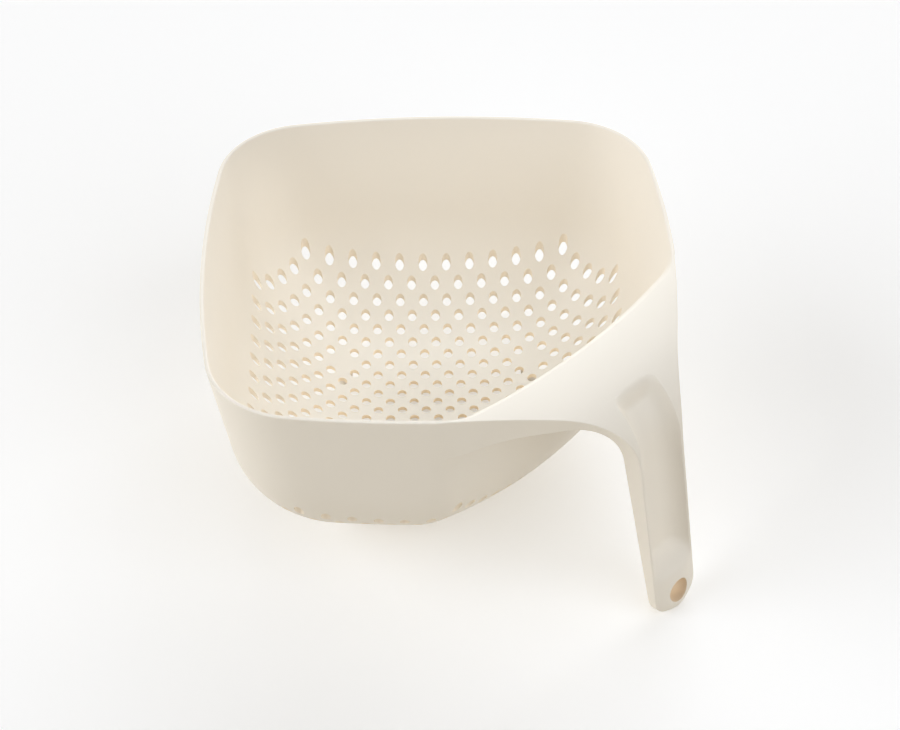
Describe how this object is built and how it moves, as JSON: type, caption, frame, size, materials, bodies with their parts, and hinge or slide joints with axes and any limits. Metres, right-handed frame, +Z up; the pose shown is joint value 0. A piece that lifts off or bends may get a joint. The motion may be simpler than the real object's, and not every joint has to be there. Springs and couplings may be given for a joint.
{
  "type": "colander",
  "caption": "Cream plastic colander: a deep square bowl with round corners, a lattice of drain holes, and one corner drawn out into a drooping handle with a thumb scoop.",
  "frame": {"origin": "middle of the plan outline, on the surface the colander stands on", "axes": "+Z up, +X out of the bowl along the handle, Y across; the part is alike on both sides of Y = 0"},
  "size_m": [0.2968, 0.2736, 0.1273],
  "materials": {
    "polypropylene": "cream polypropylene with a fine matte moulded grain"
  },
  "bodies": {
    "root": {"strainer_floor": "polypropylene", "strainer_wall_back": "polypropylene", "strainer_wall_front": "polypropylene", "strainer_wall_left": "polypropylene", "strainer_wall_right": "polypropylene", "bowl_wall_back": "polypropylene", "bowl_wall_front": "polypropylene", "bowl_wall_left": "polypropylene", "bowl_wall_right": "polypropylene", "rim": "polypropylene", "corner_shelf": "polypropylene", "handle_grip": "polypropylene", "handle_end": "polypropylene", "foot_back": "polypropylene", "foot_left": "polypropylene", "foot_right": "polypropylene", "foot_front": "polypropylene"}
  },
  "joints": []
}
